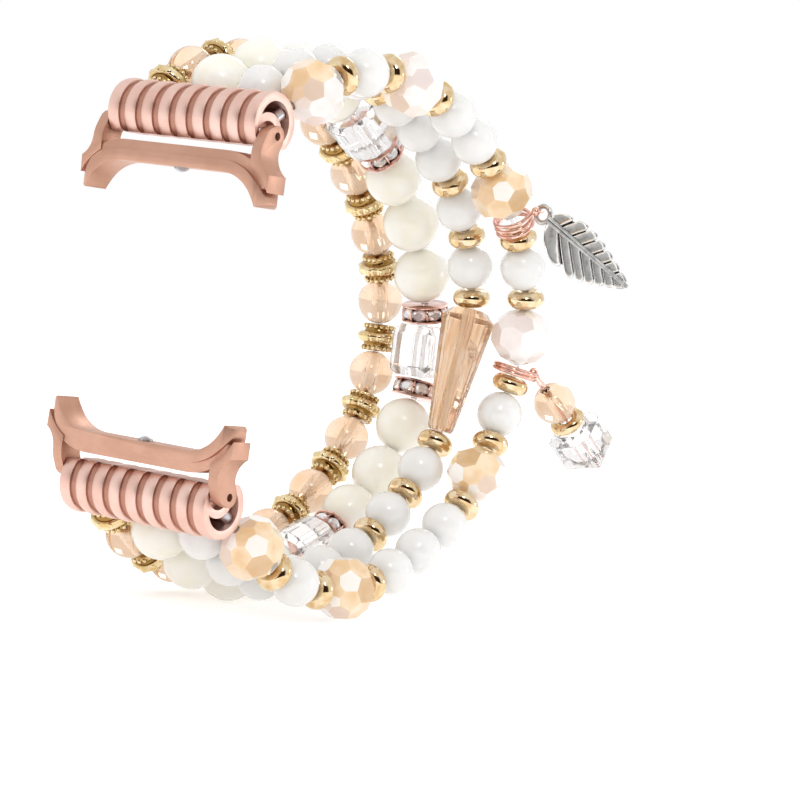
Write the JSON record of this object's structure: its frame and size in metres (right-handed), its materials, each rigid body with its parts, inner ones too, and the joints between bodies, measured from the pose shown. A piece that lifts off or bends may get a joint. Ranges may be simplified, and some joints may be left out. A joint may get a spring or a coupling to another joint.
{
  "type": "beaded watch strap",
  "caption": "Stretch strap of beads on elastic cords between ribbed barrels, with slide-in lug adapters, spring bars, a leaf charm and a crystal drop charm.",
  "frame": {"origin": "middle of the space between the two lug adapters, where the case that the strap holds sits", "axes": "+X across the strap, +Y from the case into the loop that goes round the wrist, +Z from the lower adapter to the upper one"},
  "size_m": [0.0458, 0.0809, 0.0722],
  "materials": {
    "rose_gold": "polished rose-gold plating",
    "rose_wire": "bright rose-gold plated wire",
    "pale_gold": "polished pale gold plating",
    "bar_steel": "drawn stainless steel",
    "spring_steel": "spring wire",
    "antique_silver": "cast alloy with darkened hollows and polished rims",
    "stretch_cord": "clear elastic cord",
    "amber": "see-through peach acrylic",
    "cream": "pearly cream acrylic",
    "milky": "milky white acrylic",
    "champagne": "champagne pearl",
    "cut_champagne": "faceted champagne acrylic",
    "crystal": "clear cut crystal",
    "stone": "clear rhinestone"
  },
  "bodies": {
    "strap": {"ribbed_barrel_upper": "rose_gold", "ribbed_barrel_lower": "rose_gold", "spring_bar_tube_upper": "bar_steel", "spring_bar_tube_lower": "bar_steel", "spring_bar_spring_upper": "spring_steel", "spring_bar_spring_lower": "spring_steel", "crimps_upper": "bar_steel", "crimps_lower": "bar_steel", "elastic_cord_a": "stretch_cord", "elastic_cord_b": "stretch_cord", "elastic_cord_c": "stretch_cord", "elastic_cord_d": "stretch_cord", "amber_beads": "amber", "daisy_spacers": "rose_gold", "cream_beads": "cream", "milky_beads_c": "milky", "milky_beads_d": "milky", "gold_spacers_c": "pale_gold", "gold_spacers_d": "pale_gold"},
    "adapter_upper": {"lug_adapter_upper": "rose_gold", "catch_spring_upper": "spring_steel"},
    "adapter_lower": {"lug_adapter_lower": "rose_gold", "catch_spring_lower": "spring_steel"},
    "catch_upper": {"catch_plunger_upper": "bar_steel"},
    "catch_lower": {"catch_plunger_lower": "bar_steel"},
    "bar_tip_upper_left": {"tip_upper_left": "bar_steel"},
    "bar_tip_upper_right": {"tip_upper_right": "bar_steel"},
    "bar_tip_lower_left": {"tip_lower_left": "bar_steel"},
    "bar_tip_lower_right": {"tip_lower_right": "bar_steel"},
    "prism_upper": {"crystal_prism_upper": "crystal"},
    "prism_lower": {"crystal_prism_lower": "crystal"},
    "cube": {"crystal_cube": "crystal"},
    "cone": {"champagne_cone": "champagne"},
    "winding": {"leaf_winding": "rose_wire"},
    "leaf": {"leaf_charm": "antique_silver"},
    "ring": {"charm_ring": "rose_wire"},
    "headpin": {"charm_headpin": "rose_wire"},
    "charm_bead": {"charm_amber_bead": "amber"},
    "charm_spacer": {"charm_gold_spacer": "pale_gold"},
    "charm_cube": {"charm_crystal_cube": "crystal"},
    "stone_ring_1": {"rhinestone_ring_1": "rose_gold", "ring_stones_1": "stone"},
    "stone_ring_2": {"rhinestone_ring_2": "rose_gold", "ring_stones_2": "stone"},
    "stone_ring_3": {"rhinestone_ring_3": "rose_gold", "ring_stones_3": "stone"},
    "stone_ring_4": {"rhinestone_ring_4": "rose_gold", "ring_stones_4": "stone"},
    "faceted_1": {"faceted_bead_1": "cut_champagne"},
    "faceted_2": {"faceted_bead_2": "cut_champagne"},
    "faceted_3": {"faceted_bead_3": "cut_champagne"},
    "faceted_4": {"faceted_bead_4": "cut_champagne"},
    "faceted_5": {"faceted_bead_5": "cut_champagne"},
    "faceted_6": {"faceted_bead_6": "cut_champagne"},
    "faceted_7": {"faceted_bead_7": "cut_champagne"}
  },
  "joints": [
    {"name": "adapter_upper_turn", "type": "hinge", "parent": "strap", "child": "adapter_upper", "pos_m": [0, 0.00835, 0.0215], "axis": [1, 0, 0], "range_deg": [-33, 19]},
    {"name": "catch_upper_press", "type": "slide", "parent": "adapter_upper", "child": "catch_upper", "axis": [0, 0, 1], "range_m": [0, 0.0006], "stiffness_N_per_m": 800, "deforming": ["catch_spring_upper"]},
    {"name": "bar_tip_upper_left_press", "type": "slide", "parent": "strap", "child": "bar_tip_upper_left", "axis": [1, 0, 0], "range_m": [0, 0.00085], "stiffness_N_per_m": 800},
    {"name": "bar_tip_upper_right_press", "type": "slide", "parent": "strap", "child": "bar_tip_upper_right", "axis": [-1, 0, 0], "range_m": [0, 0.00085], "stiffness_N_per_m": 800},
    {"name": "adapter_lower_turn", "type": "hinge", "parent": "strap", "child": "adapter_lower", "pos_m": [0, 0.00835, -0.0215], "axis": [1, 0, 0], "range_deg": [-19, 33]},
    {"name": "catch_lower_press", "type": "slide", "parent": "adapter_lower", "child": "catch_lower", "axis": [0, 0, -1], "range_m": [0, 0.0006], "stiffness_N_per_m": 800, "deforming": ["catch_spring_lower"]},
    {"name": "bar_tip_lower_left_press", "type": "slide", "parent": "strap", "child": "bar_tip_lower_left", "axis": [1, 0, 0], "range_m": [0, 0.00085], "stiffness_N_per_m": 800},
    {"name": "bar_tip_lower_right_press", "type": "slide", "parent": "strap", "child": "bar_tip_lower_right", "axis": [-1, 0, 0], "range_m": [0, 0.00085], "stiffness_N_per_m": 800},
    {"name": "stone_ring_1_spin", "type": "hinge", "parent": "strap", "child": "stone_ring_1", "pos_m": [-0.0036, 0.05122, 0.02349], "axis": [-0.0003, 0.8208, -0.5712], "continuous": true},
    {"name": "stone_ring_2_spin", "type": "hinge", "parent": "strap", "child": "stone_ring_2", "pos_m": [-0.0036, 0.06692, 0.00269], "axis": [0, 0.2354, -0.9719], "continuous": true},
    {"name": "stone_ring_3_spin", "type": "hinge", "parent": "strap", "child": "stone_ring_3", "pos_m": [-0.0036, 0.0672, -0.00809], "axis": [0, -0.1879, -0.9822], "continuous": true},
    {"name": "stone_ring_4_spin", "type": "hinge", "parent": "strap", "child": "stone_ring_4", "pos_m": [-0.0036, 0.05126, -0.02837], "axis": [0.0003, -0.8711, -0.4911], "continuous": true},
    {"name": "prism_upper_spin", "type": "hinge", "parent": "strap", "child": "prism_upper", "pos_m": [-0.0036, 0.04666, 0.02619], "axis": [-0.0007, 0.8741, -0.4857], "continuous": true},
    {"name": "prism_lower_spin", "type": "hinge", "parent": "strap", "child": "prism_lower", "pos_m": [-0.0036, 0.04644, -0.03055], "axis": [0.0008, -0.9247, -0.3807], "continuous": true},
    {"name": "cube_spin", "type": "hinge", "parent": "strap", "child": "cube", "pos_m": [-0.0036, 0.06737, -0.0027], "axis": [0, 0.0275, -0.9996], "continuous": true},
    {"name": "cone_spin", "type": "hinge", "parent": "strap", "child": "cone", "pos_m": [0.0051, 0.06335, -0.00458], "axis": [0, -0.1966, -0.9805], "continuous": true},
    {"name": "faceted_1_spin", "type": "hinge", "parent": "strap", "child": "faceted_1", "pos_m": [0.01081, 0.01688, 0.02769], "axis": [0.1148, 0.8337, 0.5402], "continuous": true},
    {"name": "faceted_2_spin", "type": "hinge", "parent": "strap", "child": "faceted_2", "pos_m": [0.01216, 0.03512, 0.03111], "axis": [0.0337, 0.986, -0.1635], "continuous": true},
    {"name": "faceted_3_spin", "type": "hinge", "parent": "strap", "child": "faceted_3", "pos_m": [0.01249, 0.05761, 0.01997], "axis": [0.0015, 0.7438, -0.6684], "continuous": true},
    {"name": "faceted_4_spin", "type": "hinge", "parent": "strap", "child": "faceted_4", "pos_m": [0.01215, 0.06756, 0.00118], "axis": [-0.08, 0.0806, -0.9935], "continuous": true},
    {"name": "faceted_5_spin", "type": "hinge", "parent": "strap", "child": "faceted_5", "pos_m": [0.01205, 0.0616, -0.01774], "axis": [0.0992, -0.6094, -0.7866], "continuous": true},
    {"name": "faceted_6_spin", "type": "hinge", "parent": "strap", "child": "faceted_6", "pos_m": [0.01215, 0.03475, -0.0327], "axis": [-0.0364, -0.9959, -0.0833], "continuous": true},
    {"name": "faceted_7_spin", "type": "hinge", "parent": "strap", "child": "faceted_7", "pos_m": [0.01079, 0.01678, -0.02785], "axis": [-0.1101, -0.8073, 0.5797], "continuous": true},
    {"name": "winding_turn", "type": "hinge", "parent": "strap", "child": "winding", "pos_m": [0.0125, 0.06148, 0.01622], "axis": [0.0004, 0.6388, -0.7693], "range_deg": [-40, 40]},
    {"name": "leaf_swing", "type": "hinge", "parent": "winding", "child": "leaf", "pos_m": [0.0165, 0.06148, 0.01792], "axis": [0, 1, 0], "range_deg": [-55, 12]},
    {"name": "ring_turn", "type": "hinge", "parent": "strap", "child": "ring", "pos_m": [0.01171, 0.06781, -0.00349], "axis": [-0.1631, -0.1052, -0.981], "range_deg": [-40, 40]},
    {"name": "headpin_swing", "type": "hinge", "parent": "ring", "child": "headpin", "pos_m": [0.01245, 0.07129, -0.00349], "axis": [-0.9781, 0.2079, 0], "range_deg": [-48, 34]},
    {"name": "charm_bead_spin", "type": "hinge", "parent": "headpin", "child": "charm_bead", "pos_m": [0.01346, 0.07603, -0.00728], "axis": [0.1638, 0.7708, -0.6157], "continuous": true},
    {"name": "charm_spacer_spin", "type": "hinge", "parent": "headpin", "child": "charm_spacer", "pos_m": [0.01407, 0.07888, -0.00955], "axis": [0.1638, 0.7708, -0.6157], "continuous": true},
    {"name": "charm_cube_spin", "type": "hinge", "parent": "headpin", "child": "charm_cube", "pos_m": [0.01475, 0.08208, -0.01211], "axis": [0.1638, 0.7708, -0.6157], "continuous": true}
  ]
}
